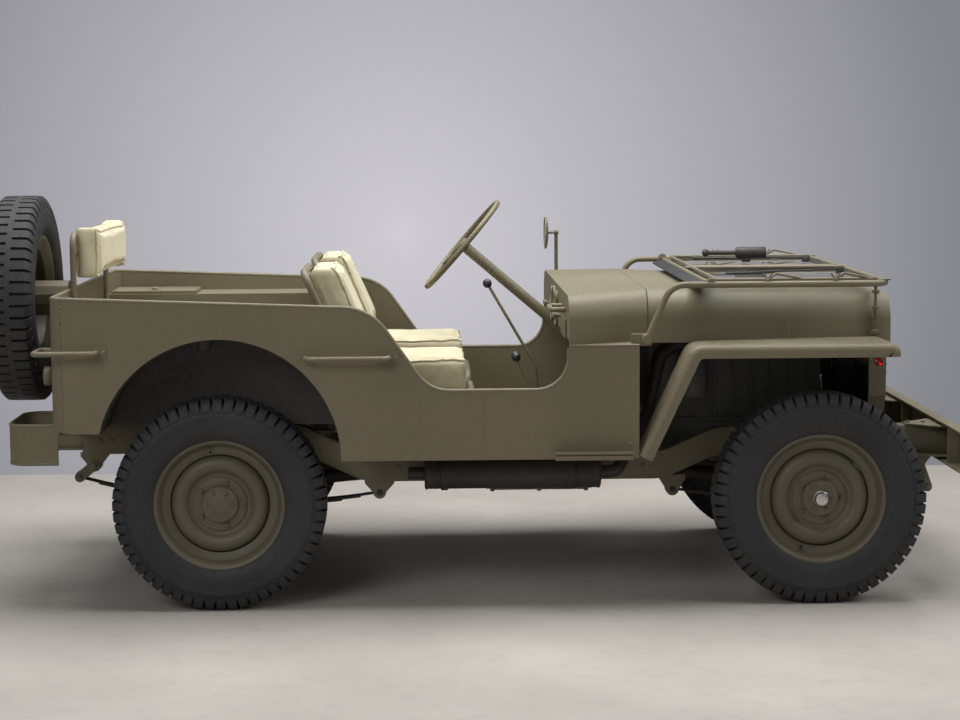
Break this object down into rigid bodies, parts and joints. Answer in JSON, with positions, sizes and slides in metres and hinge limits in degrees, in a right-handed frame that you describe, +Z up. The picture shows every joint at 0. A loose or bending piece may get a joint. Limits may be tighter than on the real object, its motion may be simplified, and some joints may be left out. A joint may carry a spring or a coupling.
{
  "type": "open military 4x4 car",
  "caption": "Open four-wheel-drive utility car with a steel tub, screen folded on its hood, slotted grille, tube-framed seats and a spare wheel on its back.",
  "frame": {"origin": "on the ground, under the middle of the car's length and width", "axes": "+X forward, +Y to the driver's left, +Z up"},
  "size_m": [3.331, 1.574, 1.39],
  "materials": {
    "drab_paint": "matte",
    "dark_metal": "matte",
    "wheel_paint": "matte",
    "tyre_rubber": "matte",
    "canvas": "matte",
    "black_plastic": "satin",
    "glass": "gloss",
    "bare_iron": "matte",
    "lamp": "gloss"
  },
  "bodies": {
    "chassis": {"frame": "drab_paint", "front_bumper": "drab_paint", "rear_bumpers": "drab_paint", "tow_hook": "drab_paint", "rear_axle": "dark_metal", "front_axle": "dark_metal", "leaf_springs": "dark_metal", "prop_shafts": "dark_metal", "power_unit": "bare_iron", "radiator": "dark_metal", "exhaust": "dark_metal", "floor_front": "drab_paint", "floor_rear": "drab_paint", "rear_panel": "drab_paint", "cowl": "drab_paint", "hood": "drab_paint", "grille": "drab_paint", "lamps": "lamp", "rear_seat": "drab_paint", "rear_cushions": "canvas", "steering_column": "dark_metal", "floor_levers": "dark_metal", "side_fittings": "drab_paint", "spare_carrier": "drab_paint", "spare_wheel": "wheel_paint", "spare_tyre": "tyre_rubber", "tub_side_left": "drab_paint", "wheelhouse_left": "drab_paint", "fender_left": "drab_paint", "seat_left": "drab_paint", "cushions_left": "canvas", "tub_side_right": "drab_paint", "wheelhouse_right": "drab_paint", "fender_right": "drab_paint", "seat_right": "drab_paint", "cushions_right": "canvas"},
    "screen": {"screen_frame": "drab_paint", "screen_glass": "glass"},
    "steering_wheel": {"steering_wheel": "black_plastic"},
    "bell_crank": {"bell_crank": "dark_metal"},
    "drop_arm": {"drop_arm": "dark_metal"},
    "drag_link": {"drag_link": "dark_metal"},
    "tool_lid_left": {"tool_lid_left": "drab_paint"},
    "knuckle_left": {"knuckle_left": "dark_metal"},
    "tie_rod_left": {"tie_rod_left": "dark_metal"},
    "road_wheel_front_left": {"wheel_front_left": "wheel_paint", "tyre_front_left": "tyre_rubber"},
    "road_wheel_rear_left": {"wheel_rear_left": "wheel_paint", "tyre_rear_left": "tyre_rubber"},
    "tool_lid_right": {"tool_lid_right": "drab_paint"},
    "knuckle_right": {"knuckle_right": "dark_metal"},
    "tie_rod_right": {"tie_rod_right": "dark_metal"},
    "road_wheel_front_right": {"wheel_front_right": "wheel_paint", "tyre_front_right": "tyre_rubber"},
    "road_wheel_rear_right": {"wheel_rear_right": "wheel_paint", "tyre_rear_right": "tyre_rubber"}
  },
  "joints": [
    {"name": "steer_left", "type": "hinge", "parent": "chassis", "child": "knuckle_left", "pos_m": [1.1525, 0.53, 0.36], "axis": [0, 0, 1], "range_deg": [-26, 26]},
    {"name": "steer_right", "type": "hinge", "parent": "chassis", "child": "knuckle_right", "pos_m": [1.1525, -0.53, 0.36], "axis": [0, 0, 1], "range_deg": [-26, 26]},
    {"name": "bell_crank_pivot", "type": "hinge", "parent": "chassis", "child": "bell_crank", "pos_m": [1.1525, 0.06, 0.402], "axis": [0, 0, 1], "range_deg": [-26, 26]},
    {"name": "tie_rod_left_pivot", "type": "hinge", "parent": "knuckle_left", "child": "tie_rod_left", "pos_m": [1.3175, 0.53, 0.39], "axis": [0, 0, 1], "range_deg": [-26, 26]},
    {"name": "tie_rod_right_pivot", "type": "hinge", "parent": "knuckle_right", "child": "tie_rod_right", "pos_m": [1.3175, -0.53, 0.365], "axis": [0, 0, 1], "range_deg": [-26, 26]},
    {"name": "drop_arm_pivot", "type": "hinge", "parent": "chassis", "child": "drop_arm", "pos_m": [0.6425, 0.3, 0.5953], "axis": [0, 1, 0], "range_deg": [-26, 26]},
    {"name": "drag_link_pivot", "type": "hinge", "parent": "drop_arm", "child": "drag_link", "pos_m": [0.6425, 0.225, 0.4303], "axis": [0, 1, 0], "range_deg": [-26, 26]},
    {"name": "steering_wheel_turn", "type": "hinge", "parent": "chassis", "child": "steering_wheel", "pos_m": [-0.03792, 0.34, 1.176], "axis": [-0.7606, 0, 0.6492], "range_deg": [-364, 364]},
    {"name": "wheel_front_left_spin", "type": "hinge", "parent": "knuckle_left", "child": "road_wheel_front_left", "pos_m": [1.1525, 0.622, 0.36], "axis": [0, 1, 0], "continuous": true},
    {"name": "wheel_front_right_spin", "type": "hinge", "parent": "knuckle_right", "child": "road_wheel_front_right", "pos_m": [1.1525, -0.622, 0.36], "axis": [0, 1, 0], "continuous": true},
    {"name": "wheel_rear_left_spin", "type": "hinge", "parent": "chassis", "child": "road_wheel_rear_left", "pos_m": [-0.8795, 0.622, 0.36], "axis": [0, 1, 0], "continuous": true},
    {"name": "wheel_rear_right_spin", "type": "hinge", "parent": "chassis", "child": "road_wheel_rear_right", "pos_m": [-0.8795, -0.622, 0.36], "axis": [0, 1, 0], "continuous": true},
    {"name": "screen_fold", "type": "hinge", "parent": "chassis", "child": "screen", "pos_m": [0.5565, 0, 0.912], "axis": [0, -1, 0], "range_deg": [0, 95]},
    {"name": "tool_lid_left_hinge", "type": "hinge", "parent": "chassis", "child": "tool_lid_left", "pos_m": [-1.2345, 0.694, 0.9843], "axis": [-1, 0, 0], "range_deg": [0, 80]},
    {"name": "tool_lid_right_hinge", "type": "hinge", "parent": "chassis", "child": "tool_lid_right", "pos_m": [-1.2345, -0.694, 0.9843], "axis": [1, 0, 0], "range_deg": [0, 80]}
  ],
  "couplings": [
    {"joint": "steer_right", "follows": "steer_left", "ratio": 1},
    {"joint": "bell_crank_pivot", "follows": "steer_left", "ratio": 1},
    {"joint": "tie_rod_left_pivot", "follows": "steer_left", "ratio": -1},
    {"joint": "tie_rod_right_pivot", "follows": "steer_left", "ratio": -1},
    {"joint": "drop_arm_pivot", "follows": "steer_left", "ratio": 1},
    {"joint": "drag_link_pivot", "follows": "steer_left", "ratio": -1},
    {"joint": "steering_wheel_turn", "follows": "steer_left", "ratio": 14}
  ]
}
